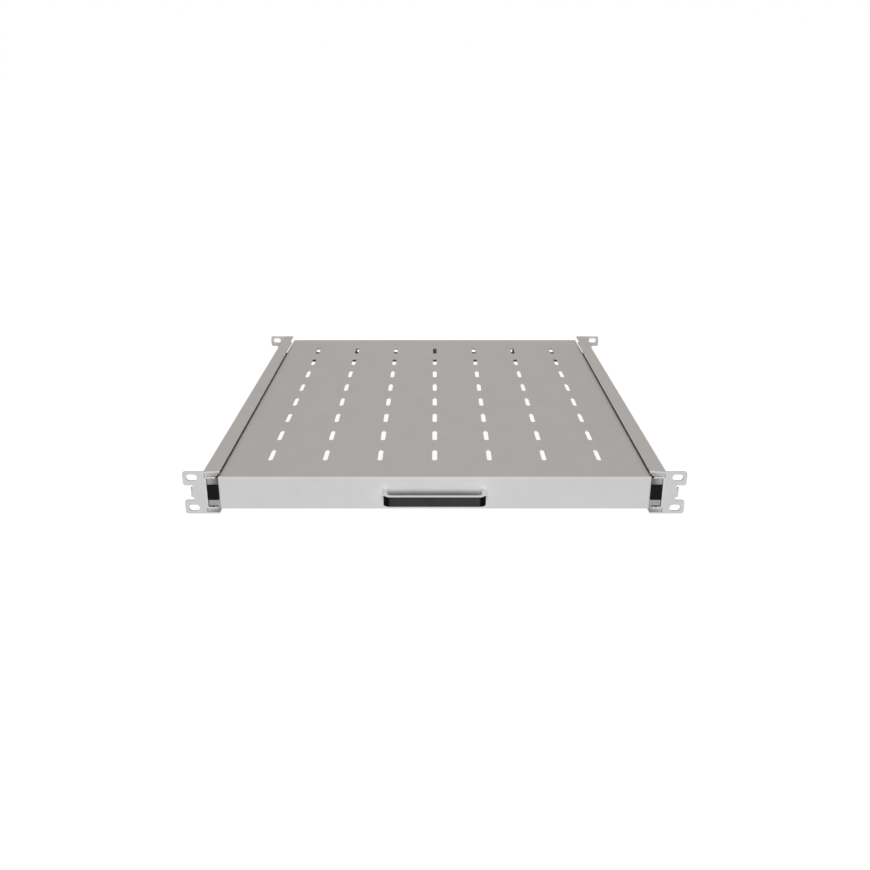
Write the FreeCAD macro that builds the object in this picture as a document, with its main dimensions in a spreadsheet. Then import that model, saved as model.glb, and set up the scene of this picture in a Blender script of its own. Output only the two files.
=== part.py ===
"""Sliding rack shelf: a slotted tray on two ball-bearing slides between rack brackets.

Frame: +X right, +Y back, +Z up, millimetres. The origin is the middle of the front ears' front
plane. Right-hand pieces are modelled and mirrored to the left.
"""

import FreeCAD, Part
import Sketcher
import os

# Driving dimensions
SIZES = {
    "rack_hole_span": 465.1,
    "rack_hole_pitch": 31.75,
    "ear_margin": 8.75,
    "ear_corner": 2.5,
    "ear_slot_length": 10.5,
    "ear_slot_width": 6.5,
    "notch_height": 15.5,
    "notch_depth": 9.4,
    "notch_corner": 1.4,
    "tab_height": 9.3,
    "tab_length": 3.5,
    "tab_proud": 3,
    "web_inset": 12.1,
    "shelf_depth": 507,
    "bracket_height": 44,
    "bracket_sheet": 1.5,
    "bracket_bend": 0.7,
    "flange_width": 16,
    "flange_slant": 2.2,
    "relief_width": 2.8,
    "relief_length": 32,
    "tray_height": 33.2,
    "tray_sheet": 1.2,
    "tray_bend": 0.3,
    "tray_corner_room": 0.3,
    "slot_length": 29.2,
    "slot_width": 5,
    "slot_columns": 7,
    "slot_rows": 8,
    "slot_side_margin": 43.1,
    "slot_front_margin": 56.3,
    "slot_rear_margin": 59.6,
    "lacing_length": 29.2,
    "lacing_width": 4,
    "lacing_count": 10,
    "lacing_side_margin": 26.9,
    "slide_thickness": 12.65,
    "slide_rear_gap": 57,
    "slide_height": 33,
    "slide_travel": 400,
    "outer_sheet": 1.5,
    "intermediate_sheet": 1.2,
    "inner_sheet": 1.2,
    "member_bend": 0.5,
    "member_setback": 2.15,
    "member_front_gap": 8,
    "running_clearance": 0.45,
    "ball_diameter": 3.2,
    "balls_per_row": 4,
    "race_depth": 0.5,
    "race_clearance": 0.15,
    "cage_sheet": 0.5,
    "cage_land": 0.8,
    "cage_length": 210,
    "cage_end_gap": 12,
    "cage_ball_margin": 10,
    "bumper_head": 2.5,
    "bumper_plug": 14,
    "bumper_corner": 0.6,
    "bumper_clearance": 0.3,
    "end_plate_clearance": 0.5,
    "stop_length": 8,
    "stop_clearance": 0.5,
    "rivet_shank": 4,
    "rivet_head": 8,
    "rivet_head_height": 1.6,
    "rivet_count": 3,
    "rivet_margin": 40,
    "slide_screw_shank": 3.5,
    "slide_screw_head": 7.5,
    "slide_screw_head_height": 2.4,
    "slide_screw_tail": 1.5,
    "slide_screw_count": 3,
    "slide_screw_margin": 39,
    "handle_screw_shank": 2,
    "handle_screw_head": 3.8,
    "handle_screw_head_height": 1.4,
    "handle_screw_depth": 8,
    "fastener_clearance": 0.1,
    "head_chamfer": 0.8,
    "bow_width": 97.5,
    "bow_reach": 21.6,
    "bow_height": 9.3,
    "bow_leg": 3.5,
    "bow_bar": 4.3,
    "bow_corner": 6.5,
    "bow_inner_corner": 4.5,
    "grip_thickness": 1.2,
    "grip_depth": 4.3,
}

# Places across the shelf, from the rack's holes in to the tray's side wall
RACK_HOLE = "(sizes.rack_hole_span / 2)"
EAR_TIP = f"({RACK_HOLE} + sizes.ear_margin)"
WEB_IN = f"({RACK_HOLE} - sizes.web_inset)"
WEB_OUT = f"({WEB_IN} + sizes.bracket_sheet)"
FLANGE_EDGE = f"({WEB_OUT} - sizes.flange_width)"
TRAY_SIDE = f"({WEB_IN} - sizes.slide_thickness)"
TRAY_WALL_IN = f"({TRAY_SIDE} - sizes.tray_sheet)"
NOTCH_FLOOR = f"({EAR_TIP} - sizes.notch_depth)"
TAB_FACE = f"({NOTCH_FLOOR} + sizes.tab_proud)"
OUTER_WEB_IN = f"({WEB_IN} - sizes.outer_sheet)"
BUMPER_OUT = f"({OUTER_WEB_IN} - sizes.bumper_clearance)"
OUTER_CAGE_OUT = f"({OUTER_WEB_IN} - sizes.running_clearance)"
OUTER_CAGE_IN = f"({OUTER_CAGE_OUT} - sizes.cage_sheet)"
MIDDLE_WEB_OUT = f"({OUTER_CAGE_IN} - sizes.running_clearance)"
MIDDLE_WEB_IN = f"({MIDDLE_WEB_OUT} - sizes.intermediate_sheet)"
INNER_CAGE_OUT = f"({MIDDLE_WEB_IN} - sizes.running_clearance)"
INNER_CAGE_IN = f"({INNER_CAGE_OUT} - sizes.cage_sheet)"
INNER_TIP = f"({INNER_CAGE_IN} - sizes.running_clearance)"
INNER_WEB_IN = f"({TRAY_SIDE} + sizes.inner_sheet)"
MEMBER_TIP = f"({TRAY_SIDE} + sizes.member_setback)"

# Heights in the slide, from the outer member in to the inner one
BALL_RADIUS = "(sizes.ball_diameter / 2)"
RACE_RADIUS = f"({BALL_RADIUS} + sizes.race_clearance)"
OUTER_TOP = "(sizes.slide_height / 2)"
OUTER_FACE = f"({OUTER_TOP} - sizes.outer_sheet)"
OUTER_BALL_Z = f"({OUTER_FACE} + sizes.race_depth - {RACE_RADIUS})"
MIDDLE_TOP = f"({OUTER_BALL_Z} - {RACE_RADIUS} + sizes.race_depth)"
MIDDLE_FACE = f"({MIDDLE_TOP} - sizes.intermediate_sheet)"
INNER_BALL_Z = f"({MIDDLE_FACE} + sizes.race_depth - {RACE_RADIUS})"
INNER_TOP = f"({INNER_BALL_Z} - {RACE_RADIUS} + sizes.race_depth)"
INNER_FACE = f"({INNER_TOP} - sizes.inner_sheet)"
OUTER_BALL_X = f"({MIDDLE_WEB_IN} - sizes.member_bend - {RACE_RADIUS})"
INNER_BALL_X = f"({MEMBER_TIP} + {RACE_RADIUS})"

# Places along the slide
SLIDE_END = "(sizes.shelf_depth - sizes.slide_rear_gap)"
MIDDLE_START = "(sizes.bumper_head + sizes.member_front_gap)"
MEMBER_END = f"({SLIDE_END} - sizes.stop_length - sizes.stop_clearance)"
OUTER_CAGE_START = "(sizes.slide_travel / 4 + sizes.cage_end_gap)"
INNER_CAGE_START = f"({MIDDLE_START} + sizes.slide_travel / 4 + sizes.cage_end_gap)"
BALL_PITCH = "((sizes.cage_length - 2 * sizes.cage_ball_margin) / (sizes.balls_per_row - 1))"
RIVET_PITCH = f"(({SLIDE_END} - 2 * sizes.rivet_margin) / (sizes.rivet_count - 1))"
SCREW_START = "(sizes.bumper_head + sizes.slide_screw_margin)"
SCREW_PITCH = f"(({MEMBER_END} - sizes.slide_screw_margin - {SCREW_START}) / (sizes.slide_screw_count - 1))"

# Places on the tray and the handle
TRAY_TOP = "(sizes.tray_height / 2)"
COLUMN_PITCH = f"(2 * ({TRAY_SIDE} - sizes.slot_side_margin) / (sizes.slot_columns - 1))"
ROW_PITCH = "((sizes.shelf_depth - sizes.slot_front_margin - sizes.slot_rear_margin) / (sizes.slot_rows - 1))"
LACING_PITCH = f"(2 * ({TRAY_SIDE} - sizes.lacing_side_margin) / (sizes.lacing_count - 1))"
BOW_SIDE = "(sizes.bow_width / 2)"
BOW_FRONT = "(-sizes.bow_reach)"
BOW_LEG = f"({BOW_SIDE} - sizes.bow_leg / 2)"
GRIP_END = f"({BOW_FRONT} + sizes.grip_depth)"
GRIP_CORNER = "(sizes.bow_corner - sizes.grip_thickness)"
HALF_BRACKET = "(sizes.bracket_height / 2)"
HALF_DEPTH = "(sizes.shelf_depth / 2)"

doc = FreeCAD.newDocument("sliding_rack_shelf")
sheet = doc.addObject("Spreadsheet::Sheet", "sizes")
for row, (alias, size) in enumerate(SIZES.items(), start=1):
    sheet.set(f"A{row}", alias)
    sheet.set(f"B{row}", str(size))
    sheet.setAlias(f"B{row}", alias)
doc.recompute()


def value(expression):
    """The number that an expression of the sizes comes to."""
    return float(sheet.evalExpression(expression))


def new_body(label):
    """An empty body with its own label."""
    body = doc.addObject("PartDesign::Body", label)
    body.Label = label
    body.AllowCompound = True
    return body


def datum(body, role):
    """One of the body's own origin planes or axes."""
    return next(feature for feature in body.Origin.OriginFeatures if feature.Role == role)


def new_sketch(body, role, **offset):
    """A sketch on an origin plane, moved by expressions along the plane's own x, y and z."""
    sketch = body.newObject("Sketcher::SketchObject", body.Name + "_sketch")
    sketch.AttachmentSupport = [(datum(body, role), "")]
    sketch.MapMode = "FlatFace"
    for axis, expression in offset.items():
        sketch.setExpression("AttachmentOffset.Base." + axis, expression)
    return sketch


def bind(sketch, expression, kind, *where):
    """A dimension of a sketch that follows an expression."""
    index = sketch.addConstraint(Sketcher.Constraint(kind, *where, value(expression)))
    sketch.setExpression(f"Constraints[{index}]", expression)


def place(sketch, geometry, point, x=None, y=None):
    """Holds a point of a sketch's geometry at expressions from the sketch's origin."""
    if x is not None:
        bind(sketch, x, "DistanceX", -1, 1, geometry, point)
    if y is not None:
        bind(sketch, y, "DistanceY", -1, 1, geometry, point)


def circle(sketch, x, y, radius):
    """A circle about a point."""
    centre = FreeCAD.Vector(value(x), value(y), 0)
    ring = sketch.addGeometry(Part.Circle(centre, FreeCAD.Vector(0, 0, 1), value(radius)), False)
    bind(sketch, radius, "Radius", ring)
    place(sketch, ring, 3, x, y)


def corner_arc(sketch, corner, before, after, radius):
    """The arc that rounds a corner between two directions, with its first and last point's codes."""
    centre = corner - before * radius + after * radius
    first = corner - before * radius
    last = corner + after * radius
    turns_left = before.cross(after).z > 0
    ends = (first, last) if turns_left else (last, first)
    axis = FreeCAD.Vector(0, 0, 1)
    angles = [FreeCAD.Vector(1, 0, 0).getAngle(end - centre) for end in ends]
    angles = [-angle if end.y < centre.y else angle for angle, end in zip(angles, ends)]
    arc = sketch.addGeometry(Part.ArcOfCircle(Part.Circle(centre, axis, radius), *angles), False)
    return (arc, 1, 2) if turns_left else (arc, 2, 1)


def outline(sketch, corners):
    """A closed outline of straight edges. A corner is x, y and, between level and upright edges, a radius."""
    count = len(corners)
    spots = [FreeCAD.Vector(value(corner[0]), value(corner[1]), 0) for corner in corners]
    radii = [value(corner[2]) if len(corner) > 2 else 0 for corner in corners]
    ways = [(spots[(i + 1) % count] - spots[i]).normalize() for i in range(count)]
    edges = []
    for i in range(count):
        after = (i + 1) % count
        line = Part.LineSegment(spots[i] + ways[i] * radii[i], spots[after] - ways[i] * radii[after])
        edge = sketch.addGeometry(line, False)
        level, upright = corners[i][1] == corners[after][1], corners[i][0] == corners[after][0]
        edges.append((edge, level, upright))
        if level:
            sketch.addConstraint(Sketcher.Constraint("Horizontal", edge))
            place(sketch, edge, 1, y=corners[i][1])
        if upright:
            sketch.addConstraint(Sketcher.Constraint("Vertical", edge))
            place(sketch, edge, 1, x=corners[i][0])
    for i, (edge, level, upright) in enumerate(edges):
        before, level_before, upright_before = edges[i - 1]
        if radii[i]:
            arc, first, last = corner_arc(sketch, spots[i], ways[i - 1], ways[i], radii[i])
            sketch.addConstraint(Sketcher.Constraint("Tangent", before, 2, arc, first))
            sketch.addConstraint(Sketcher.Constraint("Tangent", arc, last, edge, 1))
            bind(sketch, corners[i][2], "Radius", arc)
            continue
        sketch.addConstraint(Sketcher.Constraint("Coincident", before, 2, edge, 1))
        if not (upright or upright_before):
            place(sketch, edge, 1, x=corners[i][0])
        if not (level or level_before):
            place(sketch, edge, 1, y=corners[i][1])


def rectangle(sketch, low_x, high_x, low_y, high_y, *radius):
    """A rectangle between two corners, with round corners if a radius is given."""
    spots = ((low_x, low_y), (high_x, low_y), (high_x, high_y), (low_x, high_y))
    outline(sketch, [(x, y, *radius) for x, y in spots])


def level_slot(sketch, x, y, length, width):
    """A slot with round ends that runs along the sketch's x axis."""
    radius = f"({width} / 2)"
    left = f"({x} - ({length} - {width}) / 2)"
    right = f"({x} + ({length} - {width}) / 2)"
    low, high = FreeCAD.Vector(value(left), value(y), 0), FreeCAD.Vector(value(right), value(y), 0)
    half = FreeCAD.Vector(0, value(radius), 0)
    quarter = FreeCAD.Units.Quantity("90 deg").getValueAs("rad").Value
    axis = FreeCAD.Vector(0, 0, 1)
    right_end = Part.ArcOfCircle(Part.Circle(high, axis, half.y), -quarter, quarter)
    left_end = Part.ArcOfCircle(Part.Circle(low, axis, half.y), quarter, 3 * quarter)
    shapes = (right_end, Part.LineSegment(high + half, low + half), left_end,
              Part.LineSegment(low - half, high - half))
    ring = [sketch.addGeometry(shape, False) for shape in shapes]
    for piece, following in zip(ring, ring[1:] + ring[:1]):
        sketch.addConstraint(Sketcher.Constraint("Tangent", piece, 2, following, 1))
    for edge in (ring[1], ring[3]):
        sketch.addConstraint(Sketcher.Constraint("Horizontal", edge))
    bind(sketch, radius, "Radius", ring[0])
    place(sketch, ring[0], 3, right, y)
    place(sketch, ring[2], 3, x=left)


def channel_outline(sketch, web_out, web_in, tip, top, face, bend):
    """A channel section that opens towards the tip: web between two x, flanges between two heights."""
    round_out = f"({bend} + {top} - {face})"
    outline(sketch, [
        (web_out, top, round_out), (tip, top), (tip, face), (web_in, face, bend),
        (web_in, f"-{face}", bend), (tip, f"-{face}"), (tip, f"-{top}"), (web_out, f"-{top}", round_out)])


def pad(body, sketch, length, symmetric=False, backwards=False):
    """A sketch made solid along its normal."""
    feature = body.newObject("PartDesign::Pad", body.Name + "_pad")
    feature.Profile = sketch
    feature.SideType = "Symmetric" if symmetric else "One side"
    feature.Reversed = backwards
    feature.setExpression("Length", length)
    doc.recompute()
    return feature


def pocket(body, sketch, length=None, symmetric=False, backwards=False):
    """A cut of a sketch into the body, right through where no length is given."""
    before = body.Shape.Volume
    feature = body.newObject("PartDesign::Pocket", body.Name + "_pocket")
    feature.Profile = sketch
    feature.SideType = "Symmetric" if symmetric else "One side"
    feature.Reversed = backwards
    if length is None:
        feature.Type = "ThroughAll"
    else:
        feature.setExpression("Length", length)
    doc.recompute()
    if body.Shape.Volume >= before:
        raise RuntimeError(f"a pocket of {body.Label} cuts nothing")
    return feature


def revolve(body, sketch, axis):
    """A sketch turned once round one of its own axes."""
    feature = body.newObject("PartDesign::Revolution", body.Name + "_revolution")
    feature.Profile = sketch
    feature.ReferenceAxis = (sketch, [axis])
    feature.Angle = 360
    doc.recompute()
    return feature


def pattern(body, feature, *runs):
    """A feature repeated along one or two axes. A run is an axis, a spacing and a count."""
    copies = body.newObject("PartDesign::LinearPattern", body.Name + "_pattern")
    copies.Originals = [feature]
    for suffix, (role, spacing, count) in zip(("", "2"), runs):
        setattr(copies, "Direction" + suffix, (datum(body, role), [""]))
        setattr(copies, "Mode" + suffix, "Spacing")
        setattr(copies, "Spacings" + suffix, [-1])
        copies.setExpression("Offset" + suffix, spacing)
        copies.setExpression("Occurrences" + suffix, count)
    body.Tip = copies
    doc.recompute()
    return copies


def mirror_features(body, features, role):
    """Features repeated on the other side of one of the body's planes."""
    copies = body.newObject("PartDesign::Mirrored", body.Name + "_mirrored")
    copies.Originals = features
    copies.MirrorPlane = (datum(body, role), [""])
    body.Tip = copies
    doc.recompute()
    return copies


def round_edges(body, height, radius):
    """A fillet on every edge of the body's tip that lies level at a height."""
    base = body.Tip
    names = [f"Edge{number}" for number, edge in enumerate(base.Shape.Edges, start=1)
             if all(abs(vertex.Z - value(height)) < 1e-6 for vertex in edge.Vertexes)]
    feature = body.newObject("PartDesign::Fillet", body.Name + "_fillet")
    feature.Base = (base, names)
    feature.setExpression("Radius", radius)
    doc.recompute()


def channel_member(label, section, start, end):
    """A slide member or cage: a channel section run along the slide."""
    body = new_body(label)
    sketch = new_sketch(body, "XZ_Plane", z=f"-{start}")
    channel_outline(sketch, *section)
    pad(body, sketch, f"{end} - {start}", backwards=True)
    return body


def races(body, *balls):
    """Ball races rolled into the flanges along the whole of a member."""
    sketch = new_sketch(body, "XZ_Plane")
    for x, z in balls:
        circle(sketch, x, z, RACE_RADIUS)
        circle(sketch, x, f"-{z}", RACE_RADIUS)
    pocket(body, sketch)


def side_holes(body, x_sign, start, pitch, count, diameter, symmetric=False):
    """A row of fastener holes across the shelf, through the web or walls that stand upright."""
    sketch = new_sketch(body, "YZ_Plane")
    circle(sketch, start, "0", f"({diameter} / 2 + sizes.fastener_clearance)")
    hole = pocket(body, sketch, symmetric=symmetric, backwards=x_sign > 0)
    pattern(body, hole, ("Y_Axis", pitch, count))


def headed_pin(sketch, name, seat, tip, side, along="x"):
    """Half section of a headed fastener along the sketch's x or y axis, its head on the + or - side."""
    back = "-" if side == "+" else "+"
    top = f"({seat} {side} sizes.{name}_head_height)"
    head_radius, shank_radius = f"(sizes.{name}_head / 2)", f"(sizes.{name}_shank / 2)"
    spots = [
        (top, "0"), (top, f"({head_radius} - sizes.head_chamfer)"),
        (f"({top} {back} sizes.head_chamfer)", head_radius), (seat, head_radius), (seat, shank_radius),
        (tip, shank_radius), (tip, "0")]
    outline(sketch, spots if along == "x" else [(radial, axial) for axial, radial in spots])


def bracket():
    """Channel of bent sheet with a slotted rack ear at each end and a locating tab at the front."""
    body = new_body("right_bracket")
    body.setExpression("Placement.Base.y", HALF_DEPTH)
    section = new_sketch(body, "XZ_Plane")
    channel_outline(section, WEB_OUT, WEB_IN, FLANGE_EDGE, HALF_BRACKET,
                    f"({HALF_BRACKET} - sizes.bracket_sheet)", "sizes.bracket_bend")
    pad(body, section, "sizes.shelf_depth", symmetric=True)

    ear_sketch = new_sketch(body, "XZ_Plane", z=HALF_DEPTH)
    half_notch = "(sizes.notch_height / 2)"
    tip_corner, notch_corner = "sizes.ear_corner", "sizes.notch_corner"
    outline(ear_sketch, [
        (WEB_IN, f"-{HALF_BRACKET}"), (EAR_TIP, f"-{HALF_BRACKET}", tip_corner),
        (EAR_TIP, f"-{half_notch}", tip_corner), (NOTCH_FLOOR, f"-{half_notch}", notch_corner),
        (NOTCH_FLOOR, half_notch, notch_corner), (EAR_TIP, half_notch, tip_corner),
        (EAR_TIP, HALF_BRACKET, tip_corner), (WEB_IN, HALF_BRACKET)])
    for side in ("", "-"):
        level_slot(ear_sketch, RACK_HOLE, f"({side}sizes.rack_hole_pitch / 2)",
                   "sizes.ear_slot_length", "sizes.ear_slot_width")
    ear = pad(body, ear_sketch, "sizes.bracket_sheet", backwards=True)

    tab_sketch = new_sketch(body, "XY_Plane", y=f"-{HALF_DEPTH}")
    root = f"({NOTCH_FLOOR} - sizes.bracket_sheet)"
    outer_bend = "(sizes.bracket_bend + sizes.bracket_sheet)"
    outline(tab_sketch, [
        (root, "0"), (TAB_FACE, "0", outer_bend), (TAB_FACE, "sizes.tab_length"),
        (f"({TAB_FACE} - sizes.bracket_sheet)", "sizes.tab_length"),
        (f"({TAB_FACE} - sizes.bracket_sheet)", "sizes.bracket_sheet", "sizes.bracket_bend"),
        (root, "sizes.bracket_sheet")])
    pad(body, tab_sketch, "sizes.tab_height", symmetric=True)
    mirror_features(body, [ear], "XZ_Plane")

    slant = new_sketch(body, "XY_Plane", z=HALF_BRACKET)
    outline(slant, [(FLANGE_EDGE, f"-{HALF_DEPTH}"), (WEB_IN, f"-{HALF_DEPTH}"),
                    (FLANGE_EDGE, f"(sizes.flange_slant - {HALF_DEPTH})")])
    pocket(body, slant, "2 * sizes.bracket_sheet")
    for height, low_y, high_y, upwards in (
            (HALF_BRACKET, f"({HALF_DEPTH} - sizes.relief_length)", HALF_DEPTH, False),
            (f"-{HALF_BRACKET}", f"-{HALF_DEPTH}", f"(sizes.relief_length - {HALF_DEPTH})", True)):
        relief = new_sketch(body, "XY_Plane", z=height)
        rectangle(relief, FLANGE_EDGE, f"({FLANGE_EDGE} + sizes.relief_width)", low_y, high_y)
        pocket(body, relief, "2 * sizes.bracket_sheet", backwards=upwards)
    side_holes(body, 1, f"(sizes.rivet_margin - {HALF_DEPTH})", RIVET_PITCH, "sizes.rivet_count",
               "sizes.rivet_shank")
    return body


def outer_member():
    """Fixed member of the slide, riveted to the bracket's web."""
    body = channel_member(
        "right_outer_member",
        (WEB_IN, OUTER_WEB_IN, MEMBER_TIP, OUTER_TOP, OUTER_FACE, "sizes.member_bend"),
        "0", SLIDE_END)
    races(body, (OUTER_BALL_X, OUTER_BALL_Z))
    side_holes(body, 1, "sizes.rivet_margin", RIVET_PITCH, "sizes.rivet_count", "sizes.rivet_shank")
    return body


def intermediate_member():
    """Middle member of the slide, with a race on each side of its flanges."""
    body = channel_member(
        "right_intermediate_member",
        (MIDDLE_WEB_OUT, MIDDLE_WEB_IN, MEMBER_TIP, MIDDLE_TOP, MIDDLE_FACE, "sizes.member_bend"),
        MIDDLE_START, MEMBER_END)
    races(body, (OUTER_BALL_X, OUTER_BALL_Z), (INNER_BALL_X, INNER_BALL_Z))
    return body


def inner_member():
    """Member of the slide that is screwed to the tray's side wall, with a plate that closes its front end."""
    body = channel_member(
        "right_inner_member",
        (TRAY_SIDE, INNER_WEB_IN, INNER_TIP, INNER_TOP, INNER_FACE, "sizes.member_bend"),
        "sizes.bumper_head", MEMBER_END)
    races(body, (INNER_BALL_X, INNER_BALL_Z))
    plate = new_sketch(body, "XZ_Plane", z="-sizes.bumper_head")
    half_plate = f"({OUTER_FACE} - sizes.end_plate_clearance)"
    rectangle(plate, TRAY_SIDE, BUMPER_OUT, f"-{half_plate}", half_plate)
    rectangle(plate, INNER_WEB_IN, INNER_TIP, f"-{INNER_FACE}", INNER_FACE, "sizes.member_bend")
    pad(body, plate, "sizes.inner_sheet", backwards=True)
    side_holes(body, 1, SCREW_START, SCREW_PITCH, "sizes.slide_screw_count", "sizes.slide_screw_shank")
    return body


def cage_and_balls(name, web_out, web_in, ball_x, ball_z, start):
    """Ball cage of thin strip bent to a channel, and the balls that it spaces."""
    half_sheet = "sizes.cage_sheet / 2"
    tip = f"({ball_x} - {RACE_RADIUS} - sizes.cage_land)"
    section = (web_out, web_in, tip, f"({ball_z} + {half_sheet})", f"({ball_z} - {half_sheet})",
               "sizes.member_bend")
    cage = channel_member(f"right_{name}_cage", section, start, f"({start} + sizes.cage_length)")
    first_ball = f"({start} + sizes.cage_ball_margin)"
    run = ("Y_Axis", BALL_PITCH, "sizes.balls_per_row")
    sketch = new_sketch(cage, "XY_Plane")
    circle(sketch, ball_x, first_ball, RACE_RADIUS)
    pattern(cage, pocket(cage, sketch, symmetric=True), run)

    balls = new_body(f"right_{name}_balls")
    ball = balls.newObject("PartDesign::AdditiveSphere", balls.Name + "_sphere")
    ball.AttachmentSupport = [(datum(balls, "XY_Plane"), "")]
    ball.MapMode = "FlatFace"
    ball.setExpression("Radius", BALL_RADIUS)
    for axis, expression in (("x", ball_x), ("y", first_ball), ("z", f"-{ball_z}")):
        ball.setExpression("AttachmentOffset.Base." + axis, expression)
    doc.recompute()
    pattern(balls, ball, run, ("Z_Axis", f"2 * {ball_z}", "2"))
    return cage, balls


def front_bumper():
    """Plastic block in the front end of the inner member, with a head as wide as the slide."""
    body = new_body("right_front_bumper")
    head = new_sketch(body, "XZ_Plane")
    rectangle(head, TRAY_SIDE, BUMPER_OUT, f"-{INNER_FACE}", INNER_FACE, "sizes.bumper_corner")
    pad(body, head, "sizes.bumper_head", backwards=True)
    plug = new_sketch(body, "XZ_Plane", z="-sizes.bumper_head")
    rectangle(plug, INNER_WEB_IN, INNER_TIP, f"-{INNER_FACE}", INNER_FACE, "sizes.member_bend")
    pad(body, plug, "sizes.bumper_plug", backwards=True)
    return body


def rear_stop():
    """Plastic block held between the flanges at the rear end of the outer member."""
    body = new_body("right_rear_stop")
    block = new_sketch(body, "XZ_Plane", z=f"sizes.stop_length - {SLIDE_END}")
    rectangle(block, MEMBER_TIP, OUTER_WEB_IN, f"-{OUTER_FACE}", OUTER_FACE, "sizes.member_bend")
    pad(body, block, "sizes.stop_length", backwards=True)
    return body


def bracket_rivets():
    """Rivets through the bracket's web, with their tails flush inside the outer member."""
    body = new_body("right_bracket_rivets")
    sketch = new_sketch(body, "XY_Plane", y="sizes.rivet_margin")
    headed_pin(sketch, "rivet", WEB_OUT, OUTER_WEB_IN, "+")
    pattern(body, revolve(body, sketch, "H_Axis"), ("Y_Axis", RIVET_PITCH, "sizes.rivet_count"))
    return body


def slide_screws():
    """Screws from inside the tray through its side wall into the inner member."""
    body = new_body("right_slide_screws")
    sketch = new_sketch(body, "XY_Plane", y=SCREW_START)
    headed_pin(sketch, "slide_screw", TRAY_WALL_IN, f"({INNER_WEB_IN} + sizes.slide_screw_tail)", "-")
    pattern(body, revolve(body, sketch, "H_Axis"), ("Y_Axis", SCREW_PITCH, "sizes.slide_screw_count"))
    return body


def tray():
    """Pan of sheet steel turned upside down, with rows of slots and four turned-down walls."""
    body = new_body("tray")
    plan = new_sketch(body, "XY_Plane")
    inner_corner = "(sizes.tray_bend + sizes.tray_corner_room)"
    rectangle(plan, f"-{TRAY_SIDE}", TRAY_SIDE, "0", "sizes.shelf_depth",
              f"({inner_corner} + sizes.tray_sheet)")
    pad(body, plan, "sizes.tray_height", symmetric=True)
    round_edges(body, TRAY_TOP, "sizes.tray_bend + sizes.tray_sheet")

    hollow = new_sketch(body, "XY_Plane", z=f"-{TRAY_TOP}")
    rectangle(hollow, f"-{TRAY_WALL_IN}", TRAY_WALL_IN, "sizes.tray_sheet",
              "(sizes.shelf_depth - sizes.tray_sheet)", inner_corner)
    pocket(body, hollow, "sizes.tray_height - sizes.tray_sheet", backwards=True)
    round_edges(body, f"({TRAY_TOP} - sizes.tray_sheet)", "sizes.tray_bend")

    slot = new_sketch(body, "XY_Plane", z=TRAY_TOP)
    slot.setExpression("AttachmentOffset.Base.x", f"sizes.slot_side_margin - {TRAY_SIDE}")
    slot.setExpression("AttachmentOffset.Base.y", "sizes.slot_front_margin")
    slot.AttachmentOffset.Rotation = FreeCAD.Rotation(90, 0, 0)
    level_slot(slot, "0", "0", "sizes.slot_length", "sizes.slot_width")
    pattern(body, pocket(body, slot, "2 * sizes.tray_sheet"),
            ("X_Axis", COLUMN_PITCH, "sizes.slot_columns"), ("Y_Axis", ROW_PITCH, "sizes.slot_rows"))

    lacing = new_sketch(body, "XZ_Plane", z="-sizes.shelf_depth")
    level_slot(lacing, f"(sizes.lacing_side_margin - {TRAY_SIDE})", "0", "sizes.lacing_length",
               "sizes.lacing_width")
    pattern(body, pocket(body, lacing, "2 * sizes.tray_sheet", backwards=True),
            ("X_Axis", LACING_PITCH, "sizes.lacing_count"))

    screw_holes = new_sketch(body, "XZ_Plane")
    circle(screw_holes, BOW_LEG, "0", "(sizes.handle_screw_shank / 2 + sizes.fastener_clearance)")
    mirror_features(body, [pocket(body, screw_holes, "2 * sizes.tray_sheet")], "YZ_Plane")
    side_holes(body, 1, SCREW_START, SCREW_PITCH, "sizes.slide_screw_count", "sizes.slide_screw_shank",
               symmetric=True)
    return body


def bow_outline(sketch, side, front, leg, bar, corner, inner_corner):
    """A flat bow in plan: legs that run back to the lip, joined by a bar with round corners."""
    inner_side, inner_front = f"({side} - {leg})", f"({front} + {bar})"
    outline(sketch, [
        (f"-{side}", "0"), (f"-{side}", front, corner), (side, front, corner), (side, "0"),
        (inner_side, "0"), (inner_side, inner_front, inner_corner),
        (f"-{inner_side}", inner_front, inner_corner), (f"-{inner_side}", "0")])


def bow_skin(label, cut_front, cut_back):
    """The outermost layer of the handle, as thick as the grip, with a cut between two depths."""
    body = new_body(label)
    plan = new_sketch(body, "XY_Plane")
    thickness = "sizes.grip_thickness"
    bow_outline(plan, BOW_SIDE, BOW_FRONT, thickness, thickness, "sizes.bow_corner", GRIP_CORNER)
    pad(body, plan, "sizes.bow_height", symmetric=True)
    cut = new_sketch(body, "XY_Plane")
    rectangle(cut, f"(-{BOW_SIDE} - {thickness})", f"({BOW_SIDE} + {thickness})", cut_front, cut_back)
    pocket(body, cut, "sizes.bow_height", symmetric=True)
    return body


def handle_bow():
    """Flat bow on the front lip, rebated for the grip and tapped at the end of each leg."""
    body = bow_skin("handle_bow", f"({BOW_FRONT} - sizes.grip_thickness)", GRIP_END)
    core = new_sketch(body, "XY_Plane")
    bow_outline(core, f"({BOW_SIDE} - sizes.grip_thickness)", f"({BOW_FRONT} + sizes.grip_thickness)",
                "(sizes.bow_leg - sizes.grip_thickness)", "sizes.bow_bar", GRIP_CORNER,
                "sizes.bow_inner_corner")
    pad(body, core, "sizes.bow_height", symmetric=True)
    holes = new_sketch(body, "XZ_Plane")
    circle(holes, BOW_LEG, "0", "(sizes.handle_screw_shank / 2 + sizes.fastener_clearance)")
    tapped = pocket(body, holes, "sizes.handle_screw_depth + sizes.fastener_clearance", backwards=True)
    mirror_features(body, [tapped], "YZ_Plane")
    return body


def handle_grip():
    """Strip let into the front of the bow and its corners."""
    return bow_skin("handle_grip", GRIP_END, "sizes.grip_thickness")


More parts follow.
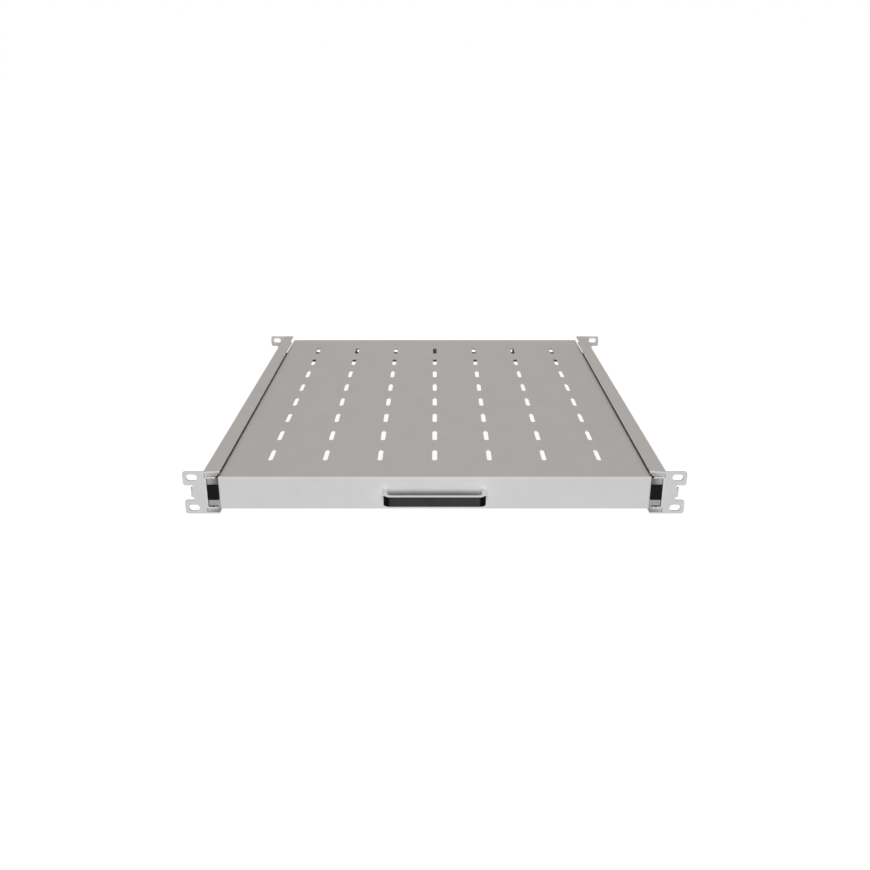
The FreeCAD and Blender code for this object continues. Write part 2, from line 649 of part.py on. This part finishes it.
def handle_screws():
    """Screws from inside the front lip into the legs of the bow."""
    body = new_body("handle_screws")
    sketch = new_sketch(body, "XY_Plane", x=BOW_LEG)
    headed_pin(sketch, "handle_screw", "sizes.tray_sheet", "(-sizes.handle_screw_depth)", "+", along="y")
    mirror_features(body, [revolve(body, sketch, "V_Axis")], "YZ_Plane")
    return body


def mirrored_to_left(source):
    """The left-hand twin of a right-hand piece."""
    label = source.Label.replace("right_", "left_")
    twin = doc.addObject("Part::Mirroring", label)
    twin.Label = label
    twin.Source = source
    twin.Normal = FreeCAD.Vector(1, 0, 0)
    return twin


right_pieces = [
    bracket(), outer_member(), intermediate_member(), inner_member(),
    *cage_and_balls("outer", OUTER_CAGE_OUT, OUTER_CAGE_IN, OUTER_BALL_X, OUTER_BALL_Z, OUTER_CAGE_START),
    *cage_and_balls("inner", INNER_CAGE_OUT, INNER_CAGE_IN, INNER_BALL_X, INNER_BALL_Z, INNER_CAGE_START),
    front_bumper(), rear_stop(), bracket_rivets(), slide_screws()]
middle_pieces = [tray(), handle_bow(), handle_grip(), handle_screws()]
left_pieces = [mirrored_to_left(piece) for piece in right_pieces]
doc.recompute()

for feature in doc.Objects:
    if "Invalid" in feature.State or "Error" in feature.State:
        raise RuntimeError(f"{feature.Label} failed: {feature.State}")

os.makedirs("parts", exist_ok=True)
for piece in right_pieces + middle_pieces + left_pieces:
    if piece.Shape.isNull() or not piece.Shape.isValid():
        raise RuntimeError(f"{piece.Label} has no valid shape")
    piece.Shape.exportStep(f"parts/{piece.Label}.step")
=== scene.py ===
"""A sliding rack shelf: its finishes, its detailed fasteners and front strips, the studio and the camera."""

import bmesh
import bpy
import math
from mathutils import Matrix, Vector

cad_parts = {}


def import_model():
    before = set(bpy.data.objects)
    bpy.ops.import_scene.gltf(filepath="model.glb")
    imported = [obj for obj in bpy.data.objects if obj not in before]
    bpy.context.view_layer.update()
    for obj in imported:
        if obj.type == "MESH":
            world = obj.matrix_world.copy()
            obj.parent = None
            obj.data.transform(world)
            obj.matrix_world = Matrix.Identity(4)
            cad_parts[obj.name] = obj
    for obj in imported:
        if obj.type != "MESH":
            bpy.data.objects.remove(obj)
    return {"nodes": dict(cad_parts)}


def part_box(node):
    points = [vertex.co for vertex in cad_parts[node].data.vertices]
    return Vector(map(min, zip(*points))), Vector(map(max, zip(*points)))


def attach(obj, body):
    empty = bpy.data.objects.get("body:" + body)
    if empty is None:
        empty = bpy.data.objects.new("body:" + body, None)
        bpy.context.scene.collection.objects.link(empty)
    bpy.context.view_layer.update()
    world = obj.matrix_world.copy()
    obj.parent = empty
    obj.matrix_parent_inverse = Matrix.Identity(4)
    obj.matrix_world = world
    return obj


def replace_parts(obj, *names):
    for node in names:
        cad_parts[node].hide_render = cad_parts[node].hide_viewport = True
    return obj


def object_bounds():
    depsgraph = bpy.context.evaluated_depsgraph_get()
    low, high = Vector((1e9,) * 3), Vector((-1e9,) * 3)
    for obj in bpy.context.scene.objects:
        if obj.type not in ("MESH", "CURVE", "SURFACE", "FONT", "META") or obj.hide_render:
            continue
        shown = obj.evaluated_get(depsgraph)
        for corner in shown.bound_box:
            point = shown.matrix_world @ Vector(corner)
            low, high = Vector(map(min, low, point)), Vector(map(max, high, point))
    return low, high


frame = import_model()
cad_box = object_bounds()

MM = 0.001
X_AXIS, Y_AXIS = 0, 1
# Each side of the shelf, with its way along X
SIDES = (("left", -1), ("right", 1))

# The photograph's view, as a full-frame camera
CAMERA_PLACE = (0.0003, -0.7957, 0.36313)
CAMERA_TILT = math.radians(69.117)
CAMERA_LENS = 37.545
CAMERA_SENSOR = 36

# Studio, in degrees and metres. Azimuth 0 is the front, and it goes round to the right. A distant
# light's width is its width across the sky.
WHITE = (1.0, 1.0, 1.0)
WARM = (1.0, 0.915, 0.845)
COOL = (0.985, 0.993, 1.0)
KEY = {"elevation": 10.2, "distance": 3.2, "width": 1.5, "height": 1.02, "power": 89, "colour": COOL}
DISTANT_LIGHTS = {
    "top": {"elevation": 84, "azimuth": 0, "width": 14, "strength": 1.1, "colour": WARM},
    "left_fill": {"elevation": 3, "azimuth": -112, "width": 12, "strength": 1.2, "colour": WHITE},
    "right_fill": {"elevation": 3, "azimuth": 112, "width": 12, "strength": 1.2, "colour": WHITE},
    "rear_fill": {"elevation": 3, "azimuth": 180, "width": 12, "strength": 1.4, "colour": WHITE},
}
AMBIENT_STRENGTH = 0.05
FLOOR_HALF = 30
FLOOR_GAP = 0.2 * MM
FLOOR_PALE = 0.25
FLOOR_GLOW = 0.97
FLOOR_SHADOW_SHARE = 0.15


def grey(level):
    """A neutral colour."""
    return (level, level, level)


# Linear colours of the finishes
PAINT_LIGHT = (0.618, 0.618, 0.616)
PAINT_DARK = (0.594, 0.594, 0.592)
ZINC_LIGHT = grey(0.53)
ZINC_DARK = grey(0.465)
# The gap strips' zinc, and a painted shade that darkens it towards the tray
STRIP_ZINC_LIGHT = grey(0.45)
STRIP_ZINC_DARK = grey(0.40)
STRIP_PAINTED_SHADE_TO_TRAY = grey(0.24)
# The end plates' colours are a darker copy of zinc as painted shade, with a painted shade towards the tray
# and a darker painted shade below the bumper
PLATE_SHADED_ZINC_LIGHT = grey(0.43)
PLATE_SHADED_ZINC_DARK = grey(0.375)
PLATE_PAINTED_SHADE_TO_TRAY = grey(0.055)
PLATE_PAINTED_SHADE_BELOW = grey(0.29)
CAGE_LIGHT = (0.58, 0.58, 0.57)
CAGE_DARK = (0.50, 0.50, 0.49)
BALL_LIGHT = grey(0.74)
BALL_DARK = grey(0.68)
FASTENER_LIGHT = (0.64, 0.64, 0.62)
FASTENER_DARK = (0.54, 0.54, 0.52)
ALUMINIUM_LIGHT = grey(0.80)
ALUMINIUM_DARK = grey(0.72)
# The grip's grey front colours are a painted sheen; its black is the strip's own colour
GRIP_PAINTED_SHEEN_LIGHT = grey(0.046)
GRIP_PAINTED_SHEEN_DARK = grey(0.034)
GRIP_BLACK = grey(0.002)
BLOCK_LIGHT = grey(0.006)
BLOCK_DARK = grey(0.004)

# Noise: its usual least and most, its octaves, and how it is drawn out into lines along an axis
NOISE_LOW = 0.3
NOISE_HIGH = 0.7
MOTTLE_DETAIL = 4
GRAIN_DETAIL = 3
EVEN = (1, 1, 1)
ALONG_SLIDE = (1, 0.01, 1)
ALONG_BOW = (0.01, 1, 1)

# Fasteners, with sizes in millimetres
RIVET = {"head_height": 1.6, "shank_radius": 2.0}
SLIDE_SCREW = {"head_height": 2.4, "shank_radius": 1.75}
HANDLE_SCREW = {"head_height": 1.4, "shank_radius": 1.0}
SIDE_COUNT = 3
HANDLE_COUNT = 2
# Their profiles. A point's rise and reach are shares of a height and a radius.
RIVET_TIP = ((0, 0.8), (0.15, 1))
RIVET_DOME = ((0, 1), (0.22, 1), (0.45, 0.95), (0.68, 0.84), (0.87, 0.69), (0.97, 0.55), (1, 0.44))
RIVET_HOLLOW = ((0.92, 0.6), (0.3, 0.6), (0.3, 0.53), (0.62, 0.53), (0.72, 0.371))
SCREW_DOME = ((0, 0.97), (0.06, 1), (0.4, 1), (0.66, 0.95), (0.85, 0.85), (0.96, 0.73), (1, 0.62))
# The thread's pitch, depth and pointed end, as shares of the shank's radius
THREAD_PITCH = 0.34
THREAD_DEPTH = 0.16
THREAD_POINT = 0.7
# The cross recess: its reach and half width at the top and the floor, as shares of the head's radius, and
# its depth, as a share of the head's height
RECESS_TOP = (0.5, 0.12)
RECESS_FLOOR = (0.32, 0.08)
RECESS_DEPTH = 0.55
# How fine the shapes are, and the angle from which an edge stays sharp
RINGS_PER_PITCH = 8
RING_STEPS = 32
SMOOTH_ANGLE = math.radians(32)

# The grip's bends, from the middle outwards, where its painted sheen gives way to black
GRIP_BEND_START = 41.6 * MM
GRIP_BEND_END = 43.6 * MM

# The slides' front ends
END_PLATE_DEPTH = 1.5 * MM
END_PLATE_FADE = 1 * MM
BRACKET_SHEET = 1.5 * MM
BRACKET_BEND = 0.7 * MM
MEMBER_CORNER = 2 * MM
STRIP_SHEET = 1.2 * MM
STRIP_ROOM = 0.1 * MM
STRIP_TRAY_ROOM = 0.4 * MM
STRIP_OVER_TRAY = 1.9 * MM
STRIP_SET_BACK = 0.6 * MM
STRIP_SLANT = 2 * MM
STRIP_CUT = 2.4 * MM
STRIP_EDGE = 0.15 * MM
STRIP_EDGE_STEPS = 2
ROUND_PROFILE = 0.5
STRIP_ARC_STEPS = 6


# Node trees

def add(tree, kind, inputs=None, **settings):
    """A node of a tree. Its inputs are plain values or the sockets that feed them."""
    node = tree.nodes.new(kind)
    for name, setting in settings.items():
        setattr(node, name, setting)
    for name, source in (inputs or {}).items():
        if isinstance(source, bpy.types.NodeSocket):
            tree.links.new(source, node.inputs[name])
        else:
            node.inputs[name].default_value = source
    return node


def empty_tree(owner):
    """The node tree of a material or a world, without the nodes that it comes with."""
    owner.use_nodes = True
    owner.node_tree.nodes.clear()
    return owner.node_tree


def rgba(colour):
    """A colour with full opacity."""
    return (*colour, 1.0)


def seen_directly(tree):
    """1 for what the camera sees itself, in a gloss or through something clear, and 0 for other light."""
    path = add(tree, "ShaderNodeLightPath")
    mirrored = add(tree, "ShaderNodeMath", operation="MAXIMUM",
                   inputs={0: path.outputs["Is Glossy Ray"], 1: path.outputs["Is Transmission Ray"]})
    seen = add(tree, "ShaderNodeMath", operation="MAXIMUM",
               inputs={0: path.outputs["Is Camera Ray"], 1: mirrored.outputs[0]})
    return seen.outputs[0]


def noise(tree, grains_per_metre, detail, stretch):
    """Noise in the piece's own space, stretched along the axes."""
    space = add(tree, "ShaderNodeTexCoord")
    spread = add(tree, "ShaderNodeMapping", {"Vector": space.outputs["Object"], "Scale": stretch})
    texture = add(tree, "ShaderNodeTexNoise", {
        "Vector": spread.outputs["Vector"], "Scale": grains_per_metre, "Detail": detail})
    return texture.outputs["Fac"]


def between(tree, factor, low, high):
    """A number from low to high, as a noise goes from its usual least to its usual most."""
    spread = add(tree, "ShaderNodeMapRange", {
        "Value": factor, "From Min": NOISE_LOW, "From Max": NOISE_HIGH, "To Min": low, "To Max": high})
    return spread.outputs["Result"]


def shades(tree, factor, dark, light):
    """A colour from dark to light, as a noise goes from its usual least to its usual most."""
    ramp = add(tree, "ShaderNodeValToRGB", {"Fac": factor})
    for stop, place, colour in zip(ramp.color_ramp.elements, (NOISE_LOW, NOISE_HIGH), (dark, light)):
        stop.position = place
        stop.color = rgba(colour)
    return ramp.outputs["Color"]


def graded(tree, colour, other, axis, start, end):
    """A colour that goes over to another one from start to end along an axis. X is the same on both sides."""
    space = add(tree, "ShaderNodeTexCoord")
    place = add(tree, "ShaderNodeSeparateXYZ", {"Vector": space.outputs["Object"]})
    reach = place.outputs[axis]
    if axis == "X":
        reach = add(tree, "ShaderNodeMath", {0: reach}, operation="ABSOLUTE").outputs[0]
    share = add(tree, "ShaderNodeMapRange", {"Value": reach, "From Min": start, "From Max": end})
    mix = add(tree, "ShaderNodeMixRGB", {
        "Fac": share.outputs["Result"], "Color1": colour, "Color2": rgba(other)})
    return mix.outputs["Color"]


def finish(name, colours, mottle, roughness, grain, relief, metallic=0.0, specular=0.5,
           stretch=EVEN, grades=()):
    """A material with a coarse noise in its colour and a fine one in its gloss and relief.

    Mottle and grain are the noises' grains per metre.
    """
    material = bpy.data.materials.new(name)
    tree = empty_tree(material)
    coarse = noise(tree, mottle, MOTTLE_DETAIL, stretch)
    fine = noise(tree, grain, GRAIN_DETAIL, stretch)
    bump = add(tree, "ShaderNodeBump", {"Height": fine, "Distance": relief, "Strength": 1.0})
    colour = shades(tree, coarse, *colours)
    for grade in grades:
        colour = graded(tree, colour, *grade)
    shader = add(tree, "ShaderNodeBsdfPrincipled", {
        "Base Color": colour, "Metallic": metallic,
        "Roughness": between(tree, fine, *roughness), "Specular IOR Level": specular,
        "Normal": bump.outputs["Normal"]})
    add(tree, "ShaderNodeOutputMaterial", {"Surface": shader.outputs["BSDF"]})
    return material


# Finishes, by the record's slots

FINISHES = {
    "painted_steel": finish(
        "powder_coat", (PAINT_DARK, PAINT_LIGHT), mottle=40, roughness=(0.46, 0.58), grain=900,
        relief=0.03 * MM, specular=0.25),
    "zinc_steel": finish(
        "bright_zinc", (ZINC_DARK, ZINC_LIGHT), mottle=300, roughness=(0.42, 0.56), grain=1500,
        relief=0.01 * MM, metallic=0.5, stretch=ALONG_SLIDE),
    "cage_steel": finish(
        "zinc_strip", (CAGE_DARK, CAGE_LIGHT), mottle=300, roughness=(0.32, 0.46), grain=1500,
        relief=0.01 * MM, metallic=1.0, stretch=ALONG_SLIDE),
    "ball_steel": finish(
        "polished_ball", (BALL_DARK, BALL_LIGHT), mottle=400, roughness=(0.08, 0.14), grain=3000,
        relief=0.002 * MM, metallic=1.0),
    "fastener_steel": finish(
        "plated_fastener", (FASTENER_DARK, FASTENER_LIGHT), mottle=500, roughness=(0.28, 0.42), grain=2500,
        relief=0.006 * MM, metallic=1.0),
    "bow_aluminium": finish(
        "satin_aluminium", (ALUMINIUM_DARK, ALUMINIUM_LIGHT), mottle=300, roughness=(0.34, 0.46), grain=2000,
        relief=0.006 * MM, metallic=1.0, stretch=ALONG_BOW),
    "black_plastic": finish(
        "moulded_block", (BLOCK_DARK, BLOCK_LIGHT), mottle=60, roughness=(0.5, 0.62), grain=2600,
        relief=0.02 * MM, specular=0.06),
}
# The grip's flat front is painted grey as a painted sheen; round its bends the painted sheen stops and the
# strip stays black
GRIP_PAINTED_SHEEN_FINISH = finish(
    "grip_painted_sheen", (GRIP_PAINTED_SHEEN_DARK, GRIP_PAINTED_SHEEN_LIGHT), mottle=60, roughness=(0.44, 0.56), grain=2600,
    relief=0.02 * MM, specular=0.03, grades=[(GRIP_BLACK, "X", GRIP_BEND_START, GRIP_BEND_END)])
# A slide reaches from the bracket's web to the tray. The plate in front of its inner member is a darker copy
# of zinc as painted shade;
# above the bumper painted shade darkens it that way, below it a painted shade gives one darker tone, and
# behind the plate the member is plain zinc.
slide_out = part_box("right_outer_member")[1].x
slide_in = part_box("tray")[1].x
plate_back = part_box("right_inner_member")[0].y + END_PLATE_DEPTH
PLATE_PAINTED_SHADE_FINISH = finish(
    "plate_painted_shade", (PLATE_SHADED_ZINC_DARK, PLATE_SHADED_ZINC_LIGHT), mottle=300, roughness=(0.5, 0.64), grain=1500,
    relief=0.01 * MM, metallic=0.3, stretch=ALONG_SLIDE,
    grades=[(PLATE_PAINTED_SHADE_TO_TRAY, "X", slide_out, slide_in),
            (PLATE_PAINTED_SHADE_BELOW, "Z", 0, -END_PLATE_FADE),
            (ZINC_DARK, "Y", plate_back, plate_back + END_PLATE_FADE)])
# The strips get darker from the bracket's web to the tray: painted shade
STRIP_PAINTED_SHADE_FINISH = finish(
    "strip_zinc_painted_shade", (STRIP_ZINC_DARK, STRIP_ZINC_LIGHT), mottle=300, roughness=(0.5, 0.64), grain=1500,
    relief=0.01 * MM, metallic=0.3, grades=[(STRIP_PAINTED_SHADE_TO_TRAY, "X", slide_out, slide_in)])
OWN_FINISHES = {
    # The grip gets the painted sheen on its flat front
    "handle_grip": GRIP_PAINTED_SHEEN_FINISH,
    # The inner members' front plates carry painted shade
    "left_inner_member": PLATE_PAINTED_SHADE_FINISH,
    "right_inner_member": PLATE_PAINTED_SHADE_FINISH,
}

for name, node in frame["nodes"].items():
    for slot in node.material_slots:
        slot.material = OWN_FINISHES.get(name) or FINISHES[slot.material.name]


# Pieces

def placed(name, form):
    """An object in the scene, of a mesh, a lamp or a camera."""
    piece = bpy.data.objects.new(name, form)
    bpy.context.scene.collection.objects.link(piece)
    return piece


def made_piece(shape, name, body, material):
    """An object of a shape that rides on a body."""
    mesh = bpy.data.meshes.new(name)
    shape.to_mesh(mesh)
    shape.free()
    mesh.shade_smooth()
    mesh.set_sharp_from_angle(angle=SMOOTH_ANGLE)
    mesh.materials.append(material)
    piece = placed(name, mesh)
    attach(piece, body)
    return piece


# Fasteners, built along z in millimetres with the tip at 0 and the head on top

def ring(shape, height, radius):
    """A ring of points at a height. The radius is a number or goes with the turn, from 0 to 1."""
    points = []
    for step in range(RING_STEPS):
        turn = step / RING_STEPS
        reach = radius(turn) if callable(radius) else radius
        angle = 2 * math.pi * turn
        points.append(shape.verts.new((reach * math.cos(angle), reach * math.sin(angle), height)))
    return points


def join(shape, below, above):
    """Faces between two rings of the same count."""
    for step in range(len(below)):
        after = (step + 1) % len(below)
        shape.faces.new((below[step], below[after], above[after], above[step]))


def turned(shape, profile):
    """Rings for a profile of heights and radii, joined in order. Gives the first and the last ring."""
    rings = [ring(shape, height, radius) for height, radius in profile]
    for below, above in zip(rings, rings[1:]):
        join(shape, below, above)
    return rings[0], rings[-1]


def scaled(profile, start, height, radius):
    """The heights, from a start, and the radii of a profile that is given in shares."""
    return [(start + height * rise, radius * reach) for rise, reach in profile]


def rivet(shape, length, head_radius, head_height, shank_radius):
    """Blind rivet: a domed flange with the snapped stem in its hollow."""
    seat = length - head_height
    bottom, top = turned(shape, [
        *scaled(RIVET_TIP, 0, shank_radius, shank_radius),
        (seat, shank_radius),
        *scaled(RIVET_DOME, seat, head_height, head_radius),
        *scaled(RIVET_HOLLOW, seat, head_height, shank_radius)])
    shape.faces.new(list(reversed(bottom)))
    shape.faces.new(top)


def thread(seat, shank_radius):
    """A thread's heights, from its point to the head's seat, and radii, which go with the turn."""
    pitch, depth = THREAD_PITCH * shank_radius, THREAD_DEPTH * shank_radius
    count = round(seat / pitch * RINGS_PER_PITCH)
    profile = []
    for number in range(count + 1):
        height = seat * number / count
        crest = shank_radius * min(1, THREAD_POINT + (1 - THREAD_POINT) * height / shank_radius)

        def radius(turn, height=height, crest=crest):
            return crest - depth * abs(2 * ((height / pitch - turn) % 1) - 1)

        profile.append((height, radius))
    return profile


def cross(shape, height, head_radius, shares):
    """A cross's outline. The reach and half width of its equal bars are shares of the head's radius."""
    reach, half_width = (head_radius * share for share in shares)
    quarter = ((reach, -half_width), (reach, half_width), (half_width, half_width))
    corners = []
    for turn in range(4):
        angle = turn * math.pi / 2
        for x, y in quarter:
            corners.append((x * math.cos(angle) - y * math.sin(angle),
                            x * math.sin(angle) + y * math.cos(angle), height))
    return [shape.verts.new(corner) for corner in corners]


def loop_edges(shape, points):
    """The edges round a closed loop of points."""
    pairs = zip(points, points[1:] + points[:1])
    return [shape.edges.get(pair) or shape.edges.new(pair) for pair in pairs]


def screw(shape, length, head_radius, head_height, shank_radius):
    """Pan-head screw: a helical thread and a cross recess that narrows to its floor."""
    seat = length - head_height
    dome = scaled(SCREW_DOME, seat, head_height, head_radius)
    bottom, top = turned(shape, thread(seat, shank_radius) + dome)
    shape.faces.new(list(reversed(bottom)))
    recess = cross(shape, length, head_radius, RECESS_TOP)
    recess_floor = cross(shape, length - RECESS_DEPTH * head_height, head_radius, RECESS_FLOOR)
    bmesh.ops.triangle_fill(shape, edges=loop_edges(shape, top) + loop_edges(shape, recess),
                            use_beauty=True)
    join(shape, recess, recess_floor)
    shape.faces.new(recess_floor)


def fasteners(node, body, build, sizes, axis, head_way, row, count):
    """Fasteners in place of a CAD node's plain ones, set in a row along the row axis.

    Each lies along axis, with its head towards the plus or minus end.
    """
    low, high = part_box(node)
    head_radius = (high.z - low.z) / 2 / MM
    length = (high[axis] - low[axis]) / MM
    way = Vector()
    way[axis] = head_way
    turn = way.to_track_quat("Z", "Y").to_matrix().to_4x4()
    tip = (low + high) / 2
    tip[axis] = low[axis] if head_way > 0 else high[axis]
    first, last = low[row] + head_radius * MM, high[row] - head_radius * MM
    shape = bmesh.new()
    for number in range(count):
        single = bmesh.new()
        build(single, length, head_radius, **sizes)
        tip[row] = first + (last - first) * number / (count - 1)
        bmesh.ops.recalc_face_normals(single, faces=single.faces)
        single.transform(Matrix.Translation(tip) @ turn @ Matrix.Scale(MM, 4))
        mesh = bpy.data.meshes.new(node)
        single.to_mesh(mesh)
        shape.from_mesh(mesh)
        single.free()
        bpy.data.meshes.remove(mesh)
    slot = "fastener_steel"
    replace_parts(made_piece(shape, node + "_detail", body, FINISHES[slot]), node)


for side, outwards in SIDES:
    fasteners(f"{side}_bracket_rivets", "brackets", rivet, RIVET,
              axis=X_AXIS, head_way=outwards, row=Y_AXIS, count=SIDE_COUNT)
    fasteners(f"{side}_slide_screws", "tray", screw, SLIDE_SCREW,
              axis=X_AXIS, head_way=-outwards, row=Y_AXIS, count=SIDE_COUNT)
fasteners("handle_screws", "tray", screw, HANDLE_SCREW,
          axis=Y_AXIS, head_way=1, row=X_AXIS, count=HANDLE_COUNT)


# Strips that close the brackets' front ends above and below the slides

def flat_strip(shape, outline):
    """A strip of sheet with an outline of x, y and z and softened front edges."""
    front = [shape.verts.new(point) for point in outline]
    back = [shape.verts.new((x, y + STRIP_SHEET, z)) for x, y, z in outline]
    join(shape, front, back)
    shape.faces.new(front)
    shape.faces.new(back)
    bmesh.ops.bevel(shape, geom=loop_edges(shape, front), offset=STRIP_EDGE, segments=STRIP_EDGE_STEPS,
                    profile=ROUND_PROFILE, affect="EDGES")


def corner_arc(member_top):
    """Points of x and z round the outer member's upper corner, from above it to beside the web."""
    reach = MEMBER_CORNER + STRIP_ROOM
    start = math.pi / 2
    end = math.acos((MEMBER_CORNER - STRIP_ROOM) / reach)
    points = []
    for step in range(STRIP_ARC_STEPS + 1):
        angle = start + (end - start) * step / STRIP_ARC_STEPS
        points.append((slide_out - MEMBER_CORNER + reach * math.cos(angle),
                       member_top - MEMBER_CORNER + reach * math.sin(angle)))
    return points


def inner_edge(box):
    """How far a piece at one side stays from the shelf's middle."""
    return min(abs(corner.x) for corner in box)


def gap_strips(side, outwards):
    """The strips above and below a slide, from the bracket's web to the tray, round the member's corner."""
    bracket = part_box(f"{side}_bracket")
    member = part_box(f"{side}_outer_member")
    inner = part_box(f"{side}_inner_member")
    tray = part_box("tray")
    web = slide_out - STRIP_ROOM
    flange = bracket[1].z - BRACKET_SHEET
    flange_edge = inner_edge(bracket) + STRIP_ROOM
    member_edge = inner_edge(member) - STRIP_ROOM
    past_plate = inner[1].z + STRIP_ROOM
    beside_tray = tray[1].x + STRIP_TRAY_ROOM
    past_tray = tray[1].z + STRIP_TRAY_ROOM
    over_tray = tray[1].z + STRIP_OVER_TRAY
    arc = corner_arc(member[1].z)
    past_member = arc[0][1]
    web_side = [*arc, (web, flange - BRACKET_BEND), (web - BRACKET_BEND, flange)]
    above = [(beside_tray, past_member), *web_side, (flange_edge, flange), (flange_edge, over_tray),
             (beside_tray, over_tray)]
    below = [(beside_tray, past_plate), (member_edge, past_plate), (member_edge, past_member), *web_side,
             (flange_edge + STRIP_CUT, flange), (flange_edge, past_tray), (beside_tray, past_tray)]
    shape = bmesh.new()
    for outline, upwards in ((above, 1), (below, -1)):
        flat_strip(shape, [
            (outwards * x, STRIP_SET_BACK + STRIP_SLANT * (web - x) / (web - flange_edge), upwards * z)
            for x, z in outline])
    bmesh.ops.recalc_face_normals(shape, faces=shape.faces)
    # The strips carry the painted shade towards the tray
    made_piece(shape, f"{side}_gap_strips", "brackets", STRIP_PAINTED_SHADE_FINISH)


for side, outwards in SIDES:
    gap_strips(side, outwards)


# Studio

def floor():
    """Pale floor under the shelf, white from above with the shelf's soft shadow, and open from below."""
    height = cad_box[0].z - FLOOR_GAP
    corners = [(x * FLOOR_HALF, y * FLOOR_HALF, height) for x, y in ((-1, -1), (1, -1), (1, 1), (-1, 1))]
    mesh = bpy.data.meshes.new("floor")
    mesh.from_pydata(corners, [], [(0, 1, 2, 3)])
    material = bpy.data.materials.new("floor")
    material.cycles.emission_sampling = "NONE"
    tree = empty_tree(material)
    pale = add(tree, "ShaderNodeBsdfDiffuse", {"Color": rgba(grey(FLOOR_PALE))})
    glow = add(tree, "ShaderNodeEmission", {"Color": rgba(WHITE), "Strength": FLOOR_GLOW})
    shaded = add(tree, "ShaderNodeBsdfDiffuse", {"Color": rgba(grey(FLOOR_SHADOW_SHARE))})
    white = add(tree, "ShaderNodeAddShader", {0: glow.outputs[0], 1: shaded.outputs[0]})
    chosen = add(tree, "ShaderNodeMixShader", {
        "Fac": seen_directly(tree), 1: pale.outputs[0], 2: white.outputs[0]})
    path = add(tree, "ShaderNodeLightPath")
    facing = add(tree, "ShaderNodeNewGeometry")
    from_below = add(tree, "ShaderNodeMath", operation="MULTIPLY",
                     inputs={0: path.outputs["Is Camera Ray"], 1: facing.outputs["Backfacing"]})
    clear = add(tree, "ShaderNodeBsdfTransparent")
    surface = add(tree, "ShaderNodeMixShader", {
        "Fac": from_below.outputs[0], 1: chosen.outputs[0], 2: clear.outputs[0]})
    add(tree, "ShaderNodeOutputMaterial", {"Surface": surface.outputs[0]})
    mesh.materials.append(material)
    piece = placed("floor", mesh)


def world():
    """White round the object, with soft light of its own strength."""
    surround = bpy.data.worlds.new("studio")
    tree = empty_tree(surround)
    ambient = add(tree, "ShaderNodeBackground", {"Color": rgba(WARM), "Strength": AMBIENT_STRENGTH})
    white = add(tree, "ShaderNodeBackground", {"Color": rgba(WHITE), "Strength": 1.0})
    chosen = add(tree, "ShaderNodeMixShader", {
        "Fac": seen_directly(tree), 1: ambient.outputs[0], 2: white.outputs[0]})
    add(tree, "ShaderNodeOutputWorld", {"Surface": chosen.outputs[0]})
    bpy.context.scene.world = surround


def way_to(elevation, azimuth):
    """The way from the object to a light."""
    rise, turn = math.radians(elevation), math.radians(azimuth)
    return Vector((math.sin(turn) * math.cos(rise), -math.cos(turn) * math.cos(rise), math.sin(rise)))


def lamp_object(name, lamp, way):
    """A lamp in the scene that shines from a way towards the object."""
    piece = placed(name, lamp)
    piece.rotation_euler = way.to_track_quat("Z", "Y").to_euler()
    piece.visible_camera = False
    return piece


def soft_box(name, elevation, distance, width, height, power, colour):
    """A broad lamp in front, near enough for the shelf's rear to get less of its light."""
    lamp = bpy.data.lights.new(name, "AREA")
    lamp.shape = "RECTANGLE"
    lamp.size = width
    lamp.size_y = height
    lamp.energy = power
    lamp.color = colour
    way = way_to(elevation, 0)
    lamp_object(name, lamp, way).location = way * distance


def distant_light(name, elevation, azimuth, width, strength, colour):
    """Soft light from far off, which fills the shelf evenly and leaves no glare."""
    lamp = bpy.data.lights.new(name, "SUN")
    lamp.angle = math.radians(width)
    lamp.energy = strength
    lamp.color = colour
    lamp_object(name, lamp, way_to(elevation, azimuth)).visible_glossy = False


def camera():
    """The photograph's view."""
    lens = bpy.data.cameras.new("camera")
    lens.sensor_fit = "HORIZONTAL"
    lens.sensor_width = CAMERA_SENSOR
    lens.lens = CAMERA_LENS
    piece = placed("camera", lens)
    piece.location = CAMERA_PLACE
    piece.rotation_euler = (CAMERA_TILT, 0, 0)
    bpy.context.scene.camera = piece


floor()
world()
soft_box("key", **KEY)
for name, facts in DISTANT_LIGHTS.items():
    distant_light(name, **facts)
camera()
bpy.context.scene.view_settings.view_transform = "Standard"
